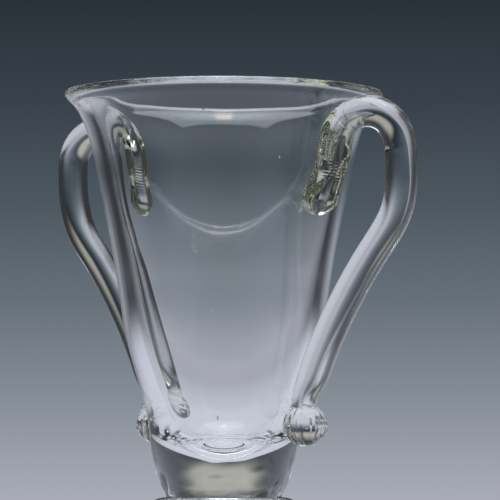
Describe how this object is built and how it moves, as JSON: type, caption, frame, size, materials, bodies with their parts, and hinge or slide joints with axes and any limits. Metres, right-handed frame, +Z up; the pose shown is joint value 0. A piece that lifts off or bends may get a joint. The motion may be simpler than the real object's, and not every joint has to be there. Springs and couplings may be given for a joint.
{
  "type": "jelly glass",
  "caption": "Footed tapering glass with an everted rim, a thick solid base, a knop, a domed folded foot and looped side handles.",
  "frame": {"origin": "middle of the foot's resting ring, on the table", "axes": "+Z up along the glass's axis; the handles lie along X, the right handle on +X"},
  "size_m": [0.099, 0.068, 0.1123],
  "materials": {
    "bowl_glass": "clear lead glass, blown and fire-polished",
    "handle_glass": "clear lead glass, drawn and tooled",
    "foot_glass": "clear lead glass, tooled"
  },
  "bodies": {
    "root": {"foot": "foot_glass", "knop": "foot_glass", "bowl": "bowl_glass", "right_handle": "handle_glass", "left_handle": "handle_glass"}
  },
  "joints": []
}
